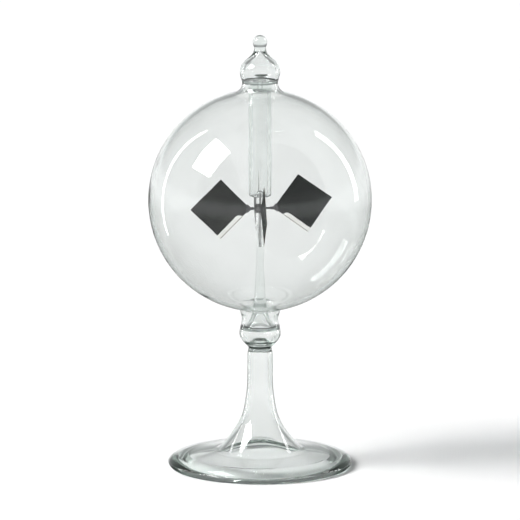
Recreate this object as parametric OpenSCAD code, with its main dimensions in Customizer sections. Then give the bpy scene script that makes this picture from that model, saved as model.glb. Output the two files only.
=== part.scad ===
// Crookes radiometer: a light mill sealed in a hand-blown glass bulb that stands on a hollow glass foot.
// The rotor's four mica vanes, each blackened on one face, turn on a steel needle in the evacuated bulb.
// Millimetres, +Z up, origin on the table under the middle of the foot.

/* [Bulb] */
// Outer radius of the bulb
bulb_r = 40; // [38:0.5:42]
// Thickness of the bulb's wall
bulb_wall = 1.4; // [1:0.1:2]
// Height of the bulb's middle above the table
bulb_z = 97.1; // [96:0.1:105]
// Outer radius of the neck on top of the bulb
top_neck_r = 6.4; // [6.2:0.1:6.8]
// Radius of the hollow sweep between the bulb and its top neck
top_sweep_r = 4; // [3:0.5:5]
// Thickness of the glass in both necks, in the knop and in the exhaust tip
neck_wall = 1.5; // [1.2:0.1:1.7]

/* [Exhaust tip] */
// Height of the drop-shaped tip, from its seal to its highest point
tip_h = 15.9; // [15:0.1:18]
// Outer radius of the drop at its widest
tip_r = 7.2; // [7:0.1:7.6]
// Radius of the bead that closes the tip
bead_r = 2.6; // [2.2:0.1:3]

/* [Guard tube] */
// Outer radius of the tube that keeps the rotor on its needle
guard_r = 4.1; // [3.8:0.1:4.2]
// Radius of the guard tube's bore
guard_bore_r = 2.7; // [2.4:0.1:3]
// Gap between the guard tube's mouth and the hub collar
guard_gap = 3.1; // [2:0.1:5]

/* [Rotor] */
// Height of the arms above the table
arm_z = 94.1; // [92:0.1:97]
// Angle of the first arm from +X, as the rotor rests
rotor_angle = 5.5; // [0:0.5:45]
// Side of a square vane
vane_side = 15.3; // [12:0.1:16]
// Mean distance of the vanes' inner corners from the axis
vane_corner_r = 4.1; // [4:0.1:5]
// Thickness of the mica
mica_t = 0.15; // [0.1:0.05:0.3]
// Thickness of the lampblack on the mica
soot_t = 0.04; // [0.02:0.01:0.1]
// Width of the strip that was held while the vane was blackened, and stayed clear
bare_w = 1.7; // [1:0.1:2.5]
// Share of a vane's edge that the clear strip runs along
bare_share = 0.73; // [0.5:0.01:0.8]

/* [Needle and stem] */
// Radius of the steel needle
needle_r = 0.4; // [0.3:0.05:0.5]
// Height of the needle's point above the table
needle_top = 100.3; // [99:0.1:101]
// Radius of the glass stem at its top
stem_r = 1.3; // [1:0.1:1.5]
// Radius of the glass stem where its flare begins
stem_base_r = 2.3; // [2:0.1:2.8]

/* [Foot] */
// Outer radius of the foot's disc
foot_r = 33; // [30:0.5:38]
// Thickness of the disc at its rim
rim_t = 3.3; // [3:0.1:4]
// Thickness of the foot's glass
foot_wall = 1.6; // [1.3:0.1:1.8]
// Outer radius of the foot's straight stem
pillar_r = 4.6; // [4.2:0.1:5.2]

/* [Hidden] */
$fn = 96;
ARMS = [1:4];

// How far each vane was set out of true by hand: along its arm, and turned about its inner corner
vane_shift = [0.7, 0.1, -0.7, 0];
vane_turn = [9.5, 1.5, 0, -2];

// Clearances, so that pieces meet without cutting into each other
fit_gap = 0.02;
point_gap = 0.05;
cup_gap = 0.05;

// Sweep between the bulb and each neck: the middle of its arc, from the middle of the bulb
mouth_r = 7.2;
mouth_sweep_r = 1.2;
function sweep_middle(neck_r, sweep_r) =
    [neck_r + sweep_r, sqrt(pow(bulb_r + sweep_r, 2) - pow(neck_r + sweep_r, 2))];
top_sweep = sweep_middle(top_neck_r, top_sweep_r);
mouth_sweep = sweep_middle(mouth_r, mouth_sweep_r);

// Heights of the seams between the pieces of glass, from the top down
bulb_top_z = bulb_z + top_sweep.y;
seal_t = 1.2;
tip_seam_z = bulb_top_z + seal_t;
bulb_bottom_z = bulb_z - 45.7;
flare_rim_t = 1.1;
knop_top_z = bulb_bottom_z - flare_rim_t;
knop_bottom_z = knop_top_z - 6.8;
joint_t = 1.3;
foot_top_z = knop_bottom_z - joint_t;

// The lower neck and the knop
waist_r = 6.5;
seam_r = 7;
knop_r = 7.35;
knop_base_r = 4;
foot_top_r = pillar_r - 0.25;

// The hole through which the air was drawn out
vent_r = 0.6;

// The bearing cup hangs over the needle's free end
cup_r = 1.4;
cup_bore_r = 0.95;
cup_l = 13;
cup_apex_z = needle_top + point_gap;
cup_dome_z = cup_apex_z - cup_bore_r;
cup_bottom_z = cup_dome_z + cup_r - cup_l;
stem_top_z = cup_bottom_z - 0.7;
flare_h = 6.8;
flare_top_z = bulb_bottom_z + flare_h;
needle_socket_l = 7;

// The hub: a collar on the cup, drilled for the four arms, and the clip at the end of each arm
collar_h = 2.8;
collar_r = 2.1;
collar_bore_r = cup_r + cup_gap;
arm_r = 0.35;
arm_start_r = collar_bore_r + 0.15;
clip_t = 0.18;
clip_lip = 0.35;
clip_reach = 1.9;
sleeve_r = 0.55;
sleeve_l = 1.1;
arm_inset = 0.35;
guard_bottom_z = arm_z + collar_h / 2 + guard_gap;

// ---------------------------------------------------------------- curves

// Points on an arc, from one angle to another
function arc(middle, radius, from, to, steps = 12) =
    [for (k = [0:steps]) let (a = from + (to - from) * k / steps) middle + radius * [cos(a), sin(a)]];

// A point on the smooth curve from b to c, with a before them and d after
function blend_point(a, b, c, d, t) =
    0.5 * (2 * b + (c - a) * t + (2 * a - 5 * b + 4 * c - d) * t * t + (3 * b - a - 3 * c + d) * t * t * t);

// A smooth curve through every point of p
function smooth(p, steps = 5) = concat(
    [for (i = [0:len(p) - 2], k = [0:steps - 1])
        blend_point(p[max(i - 1, 0)], p[i], p[i + 1], p[min(i + 2, len(p) - 1)], k / steps)],
    [p[len(p) - 1]]
);

function reversed(p) = [for (i = [len(p) - 1:-1:0]) p[i]];

// A line of points moved sideways by t, to its right as it runs
function beside(p, t) = [for (i = [0:len(p) - 1])
    let (along = p[min(i + 1, len(p) - 1)] - p[max(i - 1, 0)])
    p[i] + t * [along.y, -along.x] / norm(along)];

// A line of points raised by z, with its radii shifted by dr
function placed(p, dr, z) = [for (q = p) [q.x + dr, q.y + z]];

// A round solid between an outer line and an inner one, which both run the same way
module turned(outer, inner = []) {
    rotate_extrude() polygon(concat(outer, reversed(inner)));
}

// ---------------------------------------------------------------- outlines: [radius, height], running down

// The bulb between its two necks, pushed inwards by t
function bulb_line(t) =
    let (top_a = atan2(top_sweep.y, top_sweep.x))
    let (low_a = atan2(-mouth_sweep.y, mouth_sweep.x))
    placed(concat(
        arc(top_sweep, top_sweep_r + t, 180, 180 + top_a, 8),
        arc([0, 0], bulb_r - t, top_a - 2, low_a + 2, 44),
        arc([mouth_sweep.x, -mouth_sweep.y], mouth_sweep_r + t, 180 + low_a, 180, 6)
    ), 0, bulb_z);

// The lower neck, from the bulb's mouth to its seam
neck_line = smooth([
    [mouth_r - 0.5, bulb_z - 41.8],
    [waist_r, bulb_z - 43.3],
    [seam_r - 0.3, bulb_z - 44.8],
    [seam_r, bulb_bottom_z]
], 4);

// The drop, with its widest belt near the seal and a long throat
tip_outline = placed(smooth([
    [bead_r - 0.5, 0.69 * tip_h],
    [tip_r - 4.7, 0.597 * tip_h],
    [tip_r - 3.4, 0.503 * tip_h],
    [tip_r - 1.6, 0.403 * tip_h],
    [tip_r - 0.5, 0.31 * tip_h],
    [tip_r - 0.1, 0.216 * tip_h],
    [tip_r, 0.126 * tip_h],
    [top_neck_r + 0.3, 0]
]), 0, tip_seam_z);
bead_z = tip_seam_z + tip_h - bead_r;
bead_line = arc([0, bead_z], bead_r, 90, -34, 14);

tip_cavity = placed(smooth([
    [0, 0.68 * tip_h],
    [0.5, 0.61 * tip_h],
    [1.4, 0.52 * tip_h],
    [tip_r - 4.2, 0.42 * tip_h],
    [tip_r - 2.5, 0.32 * tip_h],
    [tip_r - 1.8, 0.22 * tip_h],
    [tip_r - 1.7, 0.12 * tip_h],
    [top_neck_r + 0.3 - neck_wall, 0]
]), 0, tip_seam_z);

knop_line = placed(smooth([
    [seam_r + 0.15, 0],
    [knop_r, -1.2],
    [knop_r - 0.1, -2.6],
    [knop_r - 0.95, -4.2],
    [knop_r - 2.3, -5.7],
    [knop_base_r, knop_bottom_z - knop_top_z]
]), 0, knop_top_z);
knop_cavity = placed(smooth([
    [seam_r + 0.15, 0],
    [knop_r, -1.2],
    [knop_r - 0.3, -2.6],
    [knop_r - 1.5, -4.1],
    [knop_r - 3.4, -4.9],
    [neck_wall, -5.1]
]), -neck_wall, knop_top_z);

// The foot: a straight pillar that sweeps out like a trumpet, down to a crease, and then a low disc
crease = [15.1, 6.3];
trumpet_line = smooth([
    [foot_top_r, foot_top_z],
    [pillar_r - 0.05, foot_top_z - 2.5],
    [pillar_r, 32],
    [pillar_r + 0.3, 27.2],
    [pillar_r + 1.1, 21.6],
    [pillar_r + 2, 18.3],
    [pillar_r + 3.4, 15.2],
    [pillar_r + 5.4, 12.1],
    [pillar_r + 8.1, 8.8],
    crease
], 4);
disc_line = smooth([
    crease + [0.7, -0.25],
    [foot_r - 12, rim_t + 2],
    [foot_r - 6, rim_t + 1.1],
    [foot_r - 2.2, rim_t + 0.2],
    [foot_r - 0.5, rim_t - 0.8],
    [foot_r, rim_t / 2],
    [foot_r - 0.5, 0.5],
    [foot_r - 1.4, 0]
], 4);
rest_r = foot_r - 4.2;
hollow_mouth = [rest_r - 1.4, 1];

// ---------------------------------------------------------------- pieces of glass

module bulb() {
    color([0.86, 0.9, 0.88, 0.35])
        turned(
            concat(bulb_line(0), neck_line),
            concat(bulb_line(bulb_wall), placed(neck_line, -neck_wall, 0))
        );
}

// The disc of glass that closes the top neck and carries the guard tube
module top_seal() {
    color([0.8, 0.86, 0.84, 0.45])
        turned(
            [
                [top_neck_r + 0.3, tip_seam_z],
                [top_neck_r + 0.05, bulb_top_z + seal_t / 2],
                [top_neck_r, bulb_top_z]
            ],
            [[vent_r, tip_seam_z], [vent_r, bulb_top_z]]
        );
}

module exhaust_tip() {
    color([0.86, 0.9, 0.88, 0.35])
        turned(concat(bead_line, tip_outline), tip_cavity);
}

// The guard tube hangs from the seal, and the pumping hole runs on through its closed top end
module guard_tube() {
    bore_top_z = bulb_top_z - 2.2;
    shoulder_r = guard_bore_r - vent_r;
    lip_r = (guard_r - guard_bore_r) / 2;
    flange_r = 0.7;
    color([0.84, 0.89, 0.87, 0.4])
        turned(
            concat(
                arc([guard_r + flange_r, bulb_top_z - flange_r], flange_r, 90, 180, 6),
                arc([guard_bore_r + lip_r, guard_bottom_z + lip_r], lip_r, 0, -180, 10)
            ),
            concat(
                [[vent_r, bulb_top_z]],
                arc([vent_r, bore_top_z - shoulder_r], shoulder_r, 90, 0, 8)
            )
        );
}

// The flared skirt that is sealed into the lower neck
module stem_flare() {
    flare_line = smooth([
        [stem_base_r, flare_h],
        [3, 4.1],
        [4.1, 1.7],
        [seam_r - neck_wall - 0.1, 0]
    ]);
    rim_line = [[seam_r, 0], [seam_r + 0.15, -flare_rim_t]];
    skirt_line = smooth([
        [0, flare_h - 1.6],
        [0.9, flare_h - 1.9],
        [1.8, 3.2],
        [2.9, 0.9],
        [4.6, -flare_rim_t]
    ]);
    color([0.84, 0.89, 0.87, 0.4])
        turned(
            placed(concat([[0, flare_h]], flare_line, rim_line), 0, bulb_bottom_z),
            placed(skirt_line, 0, bulb_bottom_z)
        );
}

// The drawn glass rod that holds the needle in a blind socket
module stem_rod() {
    rod_h = stem_top_z - flare_top_z;
    rod_line = placed(reversed(smooth([
        [stem_base_r, 0],
        [stem_base_r - 0.45, 0.2 * rod_h],
        [stem_r + 0.15, 0.45 * rod_h],
        [stem_r, 0.7 * rod_h],
        [stem_r - 0.05, rod_h - 0.5]
    ])), 0, flare_top_z);
    socket_r = needle_r + fit_gap;
    socket_bottom_z = stem_top_z - needle_socket_l;
    color([0.84, 0.89, 0.87, 0.4])
        turned(
            concat([[stem_r - 0.4, stem_top_z]], rod_line, [[0, flare_top_z]]),
            [[socket_r, stem_top_z], [socket_r, socket_bottom_z], [0, socket_bottom_z]]
        );
}

module knop() {
    color([0.86, 0.9, 0.88, 0.35])
        turned(concat(knop_line, [[0, knop_bottom_z]]), knop_cavity);
}

// The bead of glass that welds the knop to the foot
module joint_bead() {
    bulge = joint_t / 2;
    color([0.8, 0.86, 0.84, 0.45])
        turned(
            arc([knop_base_r - 0.4, knop_bottom_z - bulge], bulge, 90, -90, 10),
            [[0, knop_bottom_z], [0, foot_top_z]]
        );
}

module foot() {
    hollow_line = [for (q = beside(concat(trumpet_line, disc_line), foot_wall))
        if (q.y < foot_top_z - 0.5 && q.x < hollow_mouth.x - 1.5 && q.y > hollow_mouth.y) q];
    color([0.86, 0.9, 0.88, 0.35])
        turned(
            concat(trumpet_line, disc_line, [[rest_r, 0], [rest_r - 0.5, 0.15]]),
            concat([[foot_top_r - foot_wall, foot_top_z]], hollow_line, [hollow_mouth])
        );
}

// ---------------------------------------------------------------- pivot and rotor

module needle() {
    needle_bottom_z = stem_top_z - needle_socket_l + fit_gap;
    point_h = 3.2;
    color([0.75, 0.76, 0.78])
        turned([
            [0, needle_top],
            [0.55 * needle_r, needle_top - point_h / 3],
            [needle_r, needle_top - point_h],
            [needle_r, needle_bottom_z],
            [0, needle_bottom_z]
        ]);
}

// A thimble of thin glass, closed by a dome, that rides on the needle's point
module bearing_cup() {
    color([0.8, 0.86, 0.84, 0.45])
        turned(
            concat(arc([0, cup_dome_z], cup_r, 90, 0, 8), [[cup_r, cup_bottom_z]]),
            concat(arc([0, cup_dome_z], cup_bore_r, 90, 0, 8), [[cup_bore_r, cup_bottom_z]])
        );
}

function corner_r(i) = vane_corner_r + vane_shift[i - 1];

// Places a piece on arm i: +X runs out along the arm and +Z stays up
module on_arm(i) {
    translate([0, 0, arm_z]) rotate([0, 0, rotor_angle + 90 * (i - 1)]) children();
}

// A round bar along arm i, between two distances from the axis
module bar(i, r, from, to) {
    on_arm(i) translate([from, 0, 0]) rotate([0, 90, 0]) cylinder(h = to - from, r = r);
}

// Places a piece in the plane of vane i: +X runs along its lower inner edge and +Y along its upper one
module on_vane(i) {
    on_arm(i) translate([corner_r(i), 0, 0])
        rotate([90, 0, 0]) rotate([0, 0, vane_turn[i - 1] - 45]) children();
}

module hub_collar() {
    color([0.5, 0.5, 0.5])
        difference() {
            translate([0, 0, arm_z - collar_h / 2]) cylinder(h = collar_h, r = collar_r);
            translate([0, 0, arm_z - collar_h]) cylinder(h = 2 * collar_h, r = collar_bore_r);
            for (i = ARMS) bar(i, arm_r + fit_gap, arm_start_r - fit_gap, 2 * collar_r);
        }
}

// A wire from the collar to the clip
module arm(i) {
    color([0.35, 0.35, 0.36])
        bar(i, arm_r, arm_start_r, corner_r(i) - arm_inset);
}

// A folded tab, crimped on the arm's end, that grips the vane's inner corner between two cheeks
module vane_clip(i) {
    grip_t = mica_t + soot_t;
    reach = clip_reach;
    lip = clip_lip;
    color([0.35, 0.35, 0.36])
        difference() {
            union() {
                on_vane(i) translate([0, 0, -mica_t / 2 - clip_t]) linear_extrude(grip_t + 2 * clip_t)
                    polygon([[-lip, -lip], [reach, -lip], [reach, lip], [lip, reach], [-lip, reach]]);
                bar(i, sleeve_r, corner_r(i) - sleeve_l, corner_r(i) - 0.1);
            }
            on_vane(i) translate([0, 0, -mica_t / 2]) linear_extrude(grip_t)
                polygon([[0, 0], [2 * reach, 0], [0, 2 * reach]]);
            bar(i, arm_r + fit_gap, 0, corner_r(i) - arm_inset + fit_gap);
        }
}

module mica_vane(i) {
    color([0.62, 0.55, 0.42, 0.6])
        on_vane(i) translate([0, 0, -mica_t / 2]) linear_extrude(mica_t) square(vane_side);
}

// The soot stops short of the lower inner edge, and meets it in a short curve near the hub
module lampblack(i) {
    bare_from = vane_side * (1 - bare_share);
    color([0.08, 0.09, 0.08])
        on_vane(i) translate([0, 0, mica_t / 2]) linear_extrude(soot_t)
            polygon(concat(
                [[0, 0]],
                arc([bare_from + bare_w, 0], bare_w, 180, 90, 6),
                [[vane_side, bare_w], [vane_side, vane_side], [0, vane_side]]
            ));
}

bulb();
top_seal();
exhaust_tip();
guard_tube();
stem_flare();
stem_rod();
needle();
knop();
joint_bead();
foot();
bearing_cup();
hub_collar();
for (i = ARMS) {
    arm(i);
    vane_clip(i);
    mica_vane(i);
    lampblack(i);
}
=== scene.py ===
"""The looks of a Crookes radiometer: hand-blown glass round a rotor of blackened mica vanes.

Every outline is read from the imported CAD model, so that each piece of glass is turned from the same line
as its CAD node, with finer curves, fire-polished edges and the slight waves of glass worked by hand.
"""
import math

import bpy
from mathutils import Matrix, Vector, noise


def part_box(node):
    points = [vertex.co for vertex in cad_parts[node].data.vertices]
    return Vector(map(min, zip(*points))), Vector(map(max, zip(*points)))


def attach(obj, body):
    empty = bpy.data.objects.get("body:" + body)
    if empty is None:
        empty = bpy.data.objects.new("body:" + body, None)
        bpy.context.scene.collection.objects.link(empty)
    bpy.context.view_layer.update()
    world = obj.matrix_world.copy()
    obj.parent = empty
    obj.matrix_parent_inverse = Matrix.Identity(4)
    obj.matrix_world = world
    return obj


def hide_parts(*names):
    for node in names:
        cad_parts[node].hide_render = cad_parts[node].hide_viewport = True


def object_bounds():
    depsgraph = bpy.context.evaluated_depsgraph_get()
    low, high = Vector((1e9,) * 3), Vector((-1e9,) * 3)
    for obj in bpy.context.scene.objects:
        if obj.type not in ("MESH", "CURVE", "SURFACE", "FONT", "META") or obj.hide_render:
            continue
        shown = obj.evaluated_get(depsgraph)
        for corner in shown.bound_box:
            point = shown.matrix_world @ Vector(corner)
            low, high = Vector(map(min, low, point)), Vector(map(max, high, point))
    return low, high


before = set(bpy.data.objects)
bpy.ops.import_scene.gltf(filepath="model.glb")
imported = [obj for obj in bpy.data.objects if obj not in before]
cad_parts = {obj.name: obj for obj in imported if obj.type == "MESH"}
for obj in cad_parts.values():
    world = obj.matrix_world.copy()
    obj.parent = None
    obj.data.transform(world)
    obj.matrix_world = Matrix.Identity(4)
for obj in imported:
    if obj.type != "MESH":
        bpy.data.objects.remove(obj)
CAD_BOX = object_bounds()
MM = 0.001
TINY = 0.0001 * MM
VANES = (1, 2, 3, 4)
SOOT_INSET = 0.05 * MM
EDGE_WEAR = 0.6 * MM
FLOOR_GAP = 0.05 * MM
LIGHT_DISTANCE = 80.0


# ---------------------------------------------------------------- outlines

def outline(node):
    """A round CAD node's outline as (radius, height) points in order, and whether it is a closed ring."""
    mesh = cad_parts[node].data
    seam = {}
    for v in mesh.vertices:
        if abs(v.co.y) < 2 * TINY and v.co.x > -TINY:
            seam[v.index] = (round(v.co.x, 6), round(v.co.z, 6))
    beside = {p: [] for p in seam.values()}
    for edge in mesh.edges:
        a, b = (seam.get(k) for k in edge.vertices)
        if a and b and a != b and b not in beside[a]:
            beside[a].append(b)
            beside[b].append(a)
    ends = [p for p in beside if len(beside[p]) == 1]
    line = [max(ends, key=lambda p: p[1]) if ends else min(beside)]
    while True:
        onward = [p for p in beside[line[-1]] if p not in line]
        if not onward:
            break
        line.append(onward[0])
    points = [Vector(p) for p in line]
    if not ends:
        return points, True
    if points[0].x > 10 * TINY:
        points.insert(0, Vector((0, points[0].y)))
    if points[-1].x > 10 * TINY:
        points.append(Vector((0, points[-1].y)))
    return points, False


def ring(points, k, closed):
    return points[k % len(points)] if closed else points[min(max(k, 0), len(points) - 1)]


def fire_polished(points, closed, radius, sharp=35):
    """Rounds each sharp corner of an outline, as a flame does."""
    out = []
    for k, p in enumerate(points):
        a, b = ring(points, k - 1, closed) - p, ring(points, k + 1, closed) - p
        if min(a.length, b.length, p.x) < TINY or 180 - math.degrees(a.angle(b)) < sharp:
            out.append(p)
            continue
        reach_a, reach_b = (min(radius, 0.45 * side.length) for side in (a, b))
        start, end = p + a.normalized() * reach_a, p + b.normalized() * reach_b
        for t in (0, 0.25, 0.5, 0.75, 1):
            out.append(start.lerp(p, t).lerp(p.lerp(end, t), t))
    return out


def spline_point(p0, p1, p2, p3, t):
    """A point between p1 and p2 on a centripetal spline, which doesn't overshoot beside short steps."""
    d1, d2, d3 = (max((b - a).length, 1e-9) ** 0.5 for a, b in ((p0, p1), (p1, p2), (p2, p3)))
    m1 = ((p1 - p0) / d1 - (p2 - p0) / (d1 + d2) + (p2 - p1) / d2) * d2
    m2 = ((p2 - p1) / d2 - (p3 - p1) / (d2 + d3) + (p3 - p2) / d3) * d2
    a, b = 2 * (p1 - p2) + m1 + m2, 3 * (p2 - p1) - 2 * m1 - m2
    return a * t ** 3 + b * t ** 2 + m1 * t + p1


def fine(points, closed, step):
    """The same outline with points every step or so, on a smooth curve."""
    out = []
    for k in range(len(points) - (0 if closed else 1)):
        p0, p1, p2, p3 = (ring(points, k + j, closed) for j in (-1, 0, 1, 2))
        count = max(1, round((p2 - p1).length / step))
        for j in range(count):
            q = spline_point(p0, p1, p2, p3, j / count)
            q.x = max(q.x, 0)
            out.append(q)
    if not closed:
        out.append(points[-1])
    return out


# ---------------------------------------------------------------- meshes

def new_piece(name, verts, faces, material, body, node=None, smooth=True):
    mesh = bpy.data.meshes.new(name)
    mesh.from_pydata(verts, [], faces)
    mesh.validate()
    mesh.materials.append(material)
    if smooth:
        mesh.shade_smooth()
    piece = bpy.data.objects.new(name, mesh)
    bpy.context.scene.collection.objects.link(piece)
    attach(piece, body)
    if node:
        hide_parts(node)
    return piece


def wave(x, y, z, inside, size, length):
    """How far hand work left the glass out of true here. The inner face waves apart from the outer one."""
    shift = 9.0 if inside else 0.0
    here = Vector((x, y, z)) / length
    broad = noise.noise(here + Vector((shift, 3, 7)))
    return size * (broad + 0.3 * noise.noise(3 * here + Vector((shift, 5, 1))))


def turned(name, material, body="glasswork", turns=160, step=0.8, polish=0.15, size=0.05, length=24):
    """Turns a CAD node's outline into a fine glass piece. Lengths are in millimetres."""
    points, closed = outline(name)
    line = fine(fire_polished(points, closed, polish * MM), closed, step * MM)
    area = sum(a.x * b.y - b.x * a.y for a, b in zip(line, line[1:] + line[:1]))
    lowest = min(p.y for p in points)
    verts, rows = [], []
    for k, p in enumerate(line):
        if p.x < TINY:
            rows.append([len(verts)] * turns)
            verts.append((0, 0, p.y))
            continue
        along = ring(line, k + 1, closed) - ring(line, k - 1, closed)
        out = Vector((along.y, -along.x)).normalized() * (1 if area > 0 else -1)
        rows.append(list(range(len(verts), len(verts) + turns)))
        for j in range(turns):
            a = 2 * math.pi * j / turns
            x, y = p.x * math.cos(a), p.x * math.sin(a)
            off = wave(x, y, p.y, out.x < 0, size * MM, length * MM) * min(1, p.x / (6 * MM))
            r, z = p.x + out.x * off, p.y + out.y * off * (0 if abs(out.y) > 0.97 else 1)
            verts.append((r * math.cos(a), r * math.sin(a), max(z, lowest)))
    faces = []
    for k in range(len(rows) if closed else len(rows) - 1):
        low, high = rows[k], rows[(k + 1) % len(rows)]
        for j in range(turns):
            i = (j + 1) % turns
            corners = list(dict.fromkeys((low[j], low[i], high[i], high[j])))
            if area < 0:
                corners.reverse()
            if len(corners) > 2:
                faces.append(corners)
    ending = "_glass" if material.name.startswith("glass") else "_fine"
    return new_piece(name + ending, verts, faces, material, body, name)


# ---------------------------------------------------------------- materials

def material(name):
    made = bpy.data.materials.new(name)
    made.use_nodes = True
    tree = made.node_tree
    return made, tree, tree.nodes["Principled BSDF"]


def node(tree, kind, **values):
    made = tree.nodes.new(kind)
    for key, value in values.items():
        if key in made.inputs:
            made.inputs[key].default_value = value
        else:
            setattr(made, key, value)
    return made


def spots(tree, scale, detail=3.0, rough=0.5, stretch=(1, 1, 1)):
    """A noise over the object, with about scale spots to the metre."""
    place = node(tree, "ShaderNodeTexCoord")
    mapping = node(tree, "ShaderNodeMapping")
    mapping.inputs["Scale"].default_value = stretch
    made = node(tree, "ShaderNodeTexNoise", Scale=scale, Detail=detail, Roughness=rough)
    tree.links.new(place.outputs["Object"], mapping.inputs["Vector"])
    tree.links.new(mapping.outputs["Vector"], made.inputs["Vector"])
    return made.outputs["Fac"]


def ramp(tree, source, low, high, start=0.35, end=0.65):
    made = node(tree, "ShaderNodeValToRGB")
    made.color_ramp.elements[0].position, made.color_ramp.elements[1].position = start, end
    for element, value in zip(made.color_ramp.elements, (low, high)):
        element.color = (*value, 1) if isinstance(value, tuple) else (value, value, value, 1)
    tree.links.new(source, made.inputs["Fac"])
    return made.outputs["Color"]


def bump(tree, shader, source, strength, distance):
    made = node(tree, "ShaderNodeBump", Strength=strength, Distance=distance)
    tree.links.new(source, made.inputs["Height"])
    tree.links.new(made.outputs["Normal"], shader.inputs["Normal"])


def glass(name, tint, density, ior=1.47):
    """Clear glass whose colour deepens with its thickness, with faint draw marks and a breath of haze."""
    made, tree, shader = material(name)
    shader.inputs["Transmission Weight"].default_value = 1
    shader.inputs["IOR"].default_value = ior
    tree.links.new(ramp(tree, spots(tree, 60), 0.97, 1.0), shader.inputs["Base Color"])
    tree.links.new(ramp(tree, spots(tree, 90, 5), 0.0, 0.02, 0.55, 0.8), shader.inputs["Roughness"])
    bump(tree, shader, spots(tree, 70, 1, stretch=(1, 1, 0.35)), 0.015, MM)
    volume = node(tree, "ShaderNodeVolumeAbsorption", Density=density)
    volume.inputs["Color"].default_value = (*tint, 1)
    tree.links.new(volume.outputs["Volume"], tree.nodes["Material Output"].inputs["Volume"])
    return made


def mica():
    """Split mica: clear, faintly brown, with the fine steps of its cleavage."""
    made, tree, shader = material("mica_sheet")
    shader.inputs["Transmission Weight"].default_value = 1
    shader.inputs["IOR"].default_value = 1.5
    tree.links.new(ramp(tree, spots(tree, 350, 4), (0.96, 0.95, 0.91), (0.99, 0.985, 0.97)),
                   shader.inputs["Base Color"])
    tree.links.new(ramp(tree, spots(tree, 900, 3), 0.0, 0.06), shader.inputs["Roughness"])
    bump(tree, shader, spots(tree, 420, 6, 0.7, (1, 1, 0.3)), 0.15, 0.1 * MM)
    return made


def mica_backed():
    """The same sheet where soot lies against its back: black, under a clear and faintly stepped surface."""
    made, tree, shader = material("mica_over_soot")
    tree.links.new(ramp(tree, spots(tree, 240, 5), (0.010, 0.012, 0.011), (0.026, 0.028, 0.025)),
                   shader.inputs["Base Color"])
    tree.links.new(ramp(tree, spots(tree, 600, 4), 0.30, 0.48), shader.inputs["Roughness"])
    shader.inputs["Specular IOR Level"].default_value = 0.22
    bump(tree, shader, spots(tree, 260, 1, 0.5, (1, 1, 0.3)), 0.10, 0.1 * MM)
    return made


def mica_edge():
    """The sheet's edge, coloured dark brown at random; it also covers the first row of faces along the
    plate's lower edge.
    """
    made, tree, shader = material("mica_edge")
    tree.links.new(ramp(tree, spots(tree, 2500, 4), (0.05, 0.035, 0.02), (0.20, 0.13, 0.07)),
                   shader.inputs["Base Color"])
    tree.links.new(ramp(tree, spots(tree, 1200, 3), 0.4, 0.6), shader.inputs["Roughness"])
    return made


def soot():
    made, tree, shader = material("lampblack_soot")
    tree.links.new(ramp(tree, spots(tree, 1500, 6, 0.7), (0.006, 0.008, 0.007), (0.018, 0.023, 0.021)),
                   shader.inputs["Base Color"])
    tree.links.new(ramp(tree, spots(tree, 500, 2), 0.90, 1.0), shader.inputs["Roughness"])
    shader.inputs["Specular IOR Level"].default_value = 0.08
    bump(tree, shader, spots(tree, 1400, 3, 0.6), 0.12, 0.1 * MM)
    return made


def metal(name, dark, light, rough_low, rough_high, stretch=(1, 1, 1), scale=1800):
    made, tree, shader = material(name)
    shader.inputs["Metallic"].default_value = 1
    tree.links.new(ramp(tree, spots(tree, scale, 4, stretch=stretch), dark, light),
                   shader.inputs["Base Color"])
    tree.links.new(ramp(tree, spots(tree, scale * 0.6, 4, stretch=stretch), rough_low, rough_high),
                   shader.inputs["Roughness"])
    bump(tree, shader, spots(tree, scale * 2, 3, stretch=stretch), 0.15, 0.05 * MM)
    return made


def paper():
    made, tree, shader = material("studio_floor")
    tree.links.new(ramp(tree, spots(tree, 9, 2), 0.865, 0.88), shader.inputs["Base Color"])
    shader.inputs["Roughness"].default_value = 1.0
    shader.inputs["Specular IOR Level"].default_value = 0.0
    bump(tree, shader, spots(tree, 700, 3), 0.02, 0.5 * MM)
    return made


GLASS = glass("glass_blown", (0.60, 0.68, 0.64), 125)
SEAL = glass("glass_seal", (0.58, 0.68, 0.64), 80)
MICA = mica()
MICA_EDGE = mica_edge()
MICA_BACKED = mica_backed()
SOOT = soot()
NEEDLE = metal("needle_steel", 0.30, 0.42, 0.12, 0.25, (1, 1, 0.1))
WIRE = metal("blued_wire", (0.05, 0.052, 0.055), (0.12, 0.12, 0.125), 0.25, 0.45)
COLLAR = metal("blued_collar", 0.09, 0.17, 0.25, 0.4, (0.2, 0.2, 3))


# ---------------------------------------------------------------- glass

turned("bulb", GLASS, turns=192, step=1.4, size=0.06)
turned("top_seal", SEAL, turns=96, step=0.4, size=0.0)
turned("exhaust_tip", GLASS, turns=128, step=0.35, size=0.12, length=14, polish=0.7)
turned("guard_tube", SEAL, turns=96, step=0.8, size=0.03)
turned("stem_flare", SEAL, turns=96, step=0.4, size=0.03)
turned("stem_rod", SEAL, turns=72, step=0.6, size=0.03)
turned("knop", GLASS, turns=128, step=0.3, size=0.08, length=10)
turned("joint_bead", SEAL, turns=96, step=0.2, size=0.02)
turned("foot", GLASS, turns=192, step=0.6, size=0.12, length=20)
turned("bearing_cup", SEAL, "rotor", turns=64, step=0.4, size=0.02, polish=0.1)
turned("needle", NEEDLE, turns=40, step=0.5, size=0.0, polish=0.05)


# ---------------------------------------------------------------- rotor

def dress(name, finish):
    """Gives a CAD node that stays the finish that it shows."""
    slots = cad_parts[name].material_slots
    if not slots:
        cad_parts[name].data.materials.append(finish)
    for slot in slots:
        slot.material = finish


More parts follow.
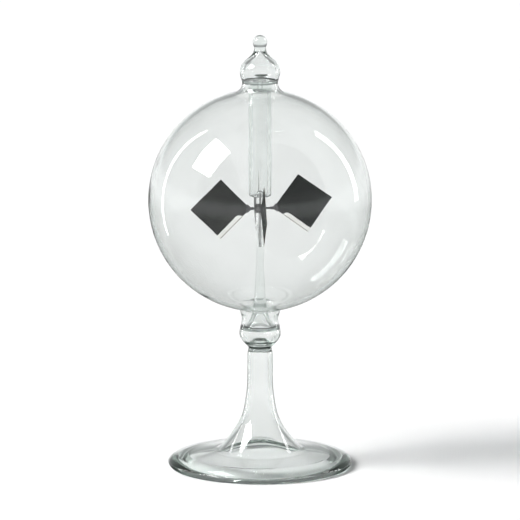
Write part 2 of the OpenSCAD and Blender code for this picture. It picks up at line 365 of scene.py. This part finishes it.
def vane_frame(i):
    """The plane of vane i, read from its CAD plate.

    The origin is the plate's inner corner in mid-thickness, X runs along the lower inner edge, Y along the
    upper one and Z points to the soot. Also gives the plate's side and thickness.
    """
    corners = [v.co.copy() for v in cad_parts[f"mica_vane_{i}"].data.vertices]
    inner, low, high = (
        [p for p in corners if (p - best).length < 0.5 * MM]
        for best in (min(corners, key=lambda p: p.xy.length), min(corners, key=lambda p: p.z),
                     max(corners, key=lambda p: p.z))
    )
    origin, low, high = (sum(group, Vector()) / len(group) for group in (inner, low, high))
    x, y = low - origin, high - origin
    z = x.cross(y).normalized()
    depth = [p.dot(z) for p in corners]
    place = Matrix((x.normalized(), y.normalized(), z)).transposed().to_4x4()
    place.translation = origin
    return place, x.length, max(depth) - min(depth)


def bowed(x, y, i):
    """How far a plate's middle surface stands out of true. Split mica is never quite flat."""
    u, v = x / (16 * MM), y / (16 * MM)
    return 0.10 * MM * noise.noise(Vector((1.3 * u + 11 * i, 1.3 * v, 0.5)))


def slab(name, i, place, finishes, columns, rows, point, clear_rows=0):
    """A thin closed sheet in the plane of vane i. point(u, row, side) places its two faces.

    finishes holds the faces' finish and, if there are clear rows, the edges' one, which also has the first
    row, and that of the other clear rows.
    """
    verts, faces, kinds = [], [], []
    for side in (0, 1):
        for a in range(columns + 1):
            for b in range(rows + 1):
                verts.append(place @ Vector(point(a / columns, b, side)))

    def at(a, b, side):
        return (side * (columns + 1) + a) * (rows + 1) + b

    for a in range(columns):
        for b in range(rows):
            low = [at(a, b, 0), at(a, b + 1, 0), at(a + 1, b + 1, 0), at(a + 1, b, 0)]
            faces += [low, [k + (columns + 1) * (rows + 1) for k in reversed(low)]]
            kinds += [0 if b >= clear_rows else 2 if b > 0 else 1] * 2
    rim = [(a, 0) for a in range(columns)] + [(columns, b) for b in range(rows)]
    rim += [(a, rows) for a in range(columns, 0, -1)] + [(0, b) for b in range(rows, 0, -1)]
    for (a, b), (c, d) in zip(rim, rim[1:] + rim[:1]):
        faces.append([at(a, b, 0), at(c, d, 0), at(c, d, 1), at(a, b, 1)])
        kinds.append(1 if len(finishes) > 1 else 0)
    cad_name = f"{name}_{i}"
    piece = new_piece(cad_name + "_sheet", verts, faces, finishes[0], "rotor", cad_name, smooth=False)
    for finish in finishes[1:]:
        piece.data.materials.append(finish)
    for face, kind in zip(piece.data.polygons, kinds):
        face.material_index = kind
    return piece


def ragged(x, size, length, seed):
    return size * noise.noise(Vector((x / length + seed, 0.4, 3.1)))


def soot_border(i, place, side):
    """The soot's edge on vane i, and its thickness.

    The edge is a function: its height above the plate's lower inner edge, at a place along that line.
    The strip left bare is where the plate was held over the flame.
    """
    local = [place.inverted() @ v.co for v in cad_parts[f"lampblack_{i}"].data.vertices]
    bare_w = min(p.y for p in local if p.x > 0.9 * side)
    bare_from = max(p.x for p in local if p.y < SOOT_INSET)

    def border(x):
        if x < bare_from:
            return SOOT_INSET
        turn = min(1, (x - bare_from) / bare_w)
        rough = ragged(x, 0.16 * MM, 1.1 * MM, 5 * i) + ragged(x, 0.07 * MM, 0.3 * MM, 9 * i)
        return max(SOOT_INSET, bare_w * math.sqrt(1 - (1 - turn) ** 2) + rough * turn)

    return border, max(p.z for p in local) - min(p.z for p in local)


def mica_plate(i):
    """The plate, with nicked edges. It is black where soot lies behind it and clear along the bare strip."""
    place, side, thick = vane_frame(i)
    border = soot_border(i, place, side)[0]
    clear_rows, rows = 8, 44

    def nick(k, j):
        return 0.06 * MM * (0.5 + noise.noise(Vector((k / MM * 0.9 + 31 * i, 7 * j, 0.2))))

    def point(u, row, face):
        x = u * side
        edge = border(min(max(x, SOOT_INSET), side - SOOT_INSET))
        y = edge * row / clear_rows
        if row > clear_rows:
            y = edge + (side - edge) * (row - clear_rows) / (rows - clear_rows)
        left, right, low, high = (max(0, 1 - k / EDGE_WEAR) for k in (x, side - x, y, side - y))
        x, y = x + left * nick(y, 0) - right * nick(y, 1), y + low * nick(x, 2) - high * nick(x, 3)
        return x, y, bowed(x, y, i) + (face - 0.5) * thick

    slab("mica_vane", i, place, (MICA_BACKED, MICA_EDGE, MICA), 72, rows, point, clear_rows)


def lampblack(i):
    """The soot film on the plate's one face."""
    place, side, thick = vane_frame(i)
    border, film = soot_border(i, place, side)
    rows = 44

    def point(u, row, face):
        x = SOOT_INSET + u * (side - 2 * SOOT_INSET)
        y = border(x) + (side - SOOT_INSET - border(x)) * row / rows
        thin = 1 - 0.6 * max(0, 1 - row / rows * side / (0.5 * MM))
        grain = 0.95 + 0.1 * noise.noise(Vector((x, y, 0)) / (0.4 * MM))
        lift = 0.004 * MM if face == 0 else film * thin * grain
        return x, y, bowed(x, y, i) + thick / 2 + lift

    slab("lampblack", i, place, (SOOT,), 72, rows, point)


def collar():
    """The turned collar on the cup, chamfered and with a fine groove above and below the arms."""
    low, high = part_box("hub_collar")
    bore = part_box("bearing_cup")[1].x + 0.03 * MM
    r, half, middle = high.x, (high.z - low.z) / 2, (high.z + low.z) / 2
    chamfer, groove, groove_at = 0.22 * MM, 0.12 * MM, 0.72 * half
    upper = [
        (bore, half), (r - chamfer, half), (r, half - chamfer),
        (r, groove_at + groove), (r - groove, groove_at), (r, groove_at - groove),
    ]
    line = [Vector((a, middle + b)) for a, b in upper]
    line += [Vector((a, middle - b)) for a, b in reversed(upper)]
    turns = 72
    verts = [(p.x * math.cos(a), p.x * math.sin(a), p.y)
             for p in line for a in (2 * math.pi * j / turns for j in range(turns))]
    faces = []
    for k in range(len(line)):
        m = (k + 1) % len(line)
        for j in range(turns):
            n = (j + 1) % turns
            faces.append([k * turns + n, k * turns + j, m * turns + j, m * turns + n])
    new_piece("hub_collar_turned", verts, faces, COLLAR, "rotor", "hub_collar", smooth=False)


collar()
for i in VANES:
    dress(f"arm_{i}", WIRE)
    dress(f"vane_clip_{i}", WIRE)
    mica_plate(i)
    lampblack(i)


# ---------------------------------------------------------------- studio

def floor():
    turns, radius = 96, 2.0
    verts = [(radius * math.cos(2 * math.pi * k / turns), radius * math.sin(2 * math.pi * k / turns), 0)
             for k in range(turns)]
    mesh = bpy.data.meshes.new("floor")
    mesh.from_pydata(verts, [], [list(range(turns))])
    mesh.materials.append(paper())
    made = bpy.data.objects.new("floor", mesh)
    made.location.z = -FLOOR_GAP
    made.visible_glossy = False
    bpy.context.scene.collection.objects.link(made)


def softbox(name, azimuth, elevation, width, height, radiance, lights=True):
    """A far area light that faces the object, with its place and size in degrees.

    Azimuth 0 is in front of the object and 90 is to its right. One that doesn't light the scene shows only
    in reflections.
    """
    a, e = math.radians(azimuth), math.radians(elevation)
    back = Vector((math.sin(a) * math.cos(e), -math.cos(a) * math.cos(e), math.sin(e)))
    data = bpy.data.lights.new(name, "AREA")
    data.shape = "RECTANGLE"
    data.size, data.size_y = (2 * LIGHT_DISTANCE * math.tan(math.radians(k) / 2) for k in (width, height))
    data.energy = radiance * math.pi * data.size * data.size_y
    made = bpy.data.objects.new(name, data)
    made.location = (CAD_BOX[0] + CAD_BOX[1]) / 2 + back * LIGHT_DISTANCE
    made.rotation_euler = back.to_track_quat("Z", "Y").to_euler()
    made.visible_camera = False
    made.visible_diffuse = made.visible_transmission = lights
    bpy.context.scene.collection.objects.link(made)


def sky():
    """A pale room that darkens overhead, and is as bright as the floor at the horizon.

    Reflections don't see the floor but the dark below it, which gives the glass its dark outlines, as black
    cards do beside a white table.
    """
    world = bpy.data.worlds.new("studio")
    world.use_nodes = True
    bpy.context.scene.world = world
    tree = world.node_tree
    place = node(tree, "ShaderNodeTexCoord")
    split = node(tree, "ShaderNodeSeparateXYZ")
    height = node(tree, "ShaderNodeMapRange")
    height.inputs["From Min"].default_value = -1
    grade = node(tree, "ShaderNodeValToRGB")
    tree.links.new(place.outputs["Generated"], split.inputs["Vector"])
    tree.links.new(split.outputs["Z"], height.inputs["Value"])
    tree.links.new(height.outputs["Result"], grade.inputs["Fac"])
    tree.links.new(grade.outputs["Color"], tree.nodes["Background"].inputs["Color"])
    stops = (
        (0.0, 0.03), (0.40, 0.05), (0.46, 1.04), (0.52, 1.04),
        (0.56, 0.55), (0.64, 0.38), (0.85, 0.30), (1.0, 0.28),
    )
    elements = grade.color_ramp.elements
    for position, value in stops[1:-1]:
        elements.new(position)
    for element, (position, value) in zip(elements, stops):
        element.color = (value, value * 1.005, value * 1.015, 1)
    tree.nodes["Background"].inputs["Strength"].default_value = 1.0


def camera(elevation, field, fill):
    """A long lens in front of the object, whose height takes up a share, fill, of the picture."""
    low, high = CAD_BOX
    e = math.radians(elevation)
    half = math.radians(field) / 2
    foot_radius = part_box("foot")[1].x
    top, bottom = high.z * math.cos(e), low.z * math.cos(e) - foot_radius * math.sin(e)
    middle = (top + bottom) / 2 / math.cos(e)
    distance = (top - bottom) / fill / 2 / math.tan(half)
    back = Vector((0, -math.cos(e), math.sin(e)))
    data = bpy.data.cameras.new("camera")
    data.sensor_width = 36
    data.lens = data.sensor_width / 2 / math.tan(half)
    data.clip_end = 20
    made = bpy.data.objects.new("camera", data)
    made.location = Vector((0, 0, middle)) + back * distance
    made.rotation_euler = back.to_track_quat("Z", "Y").to_euler()
    bpy.context.scene.collection.objects.link(made)
    bpy.context.scene.camera = made


floor()
sky()
softbox("key", -75, 42, 26, 30, 18)
softbox("strip_left", -121, 12, 4, 70, 8, lights=False)
softbox("strip_right", 118, 20, 7, 50, 8, lights=False)
camera(elevation=11, field=4, fill=0.86)

scene = bpy.context.scene
scene.view_settings.view_transform = "Standard"
scene.cycles.max_bounces = 40
scene.cycles.transmission_bounces = 32
scene.cycles.glossy_bounces = 12
scene.cycles.diffuse_bounces = 4
scene.cycles.transparent_max_bounces = 16
scene.cycles.sample_clamp_indirect = 30
scene.cycles.blur_glossy = 0.05
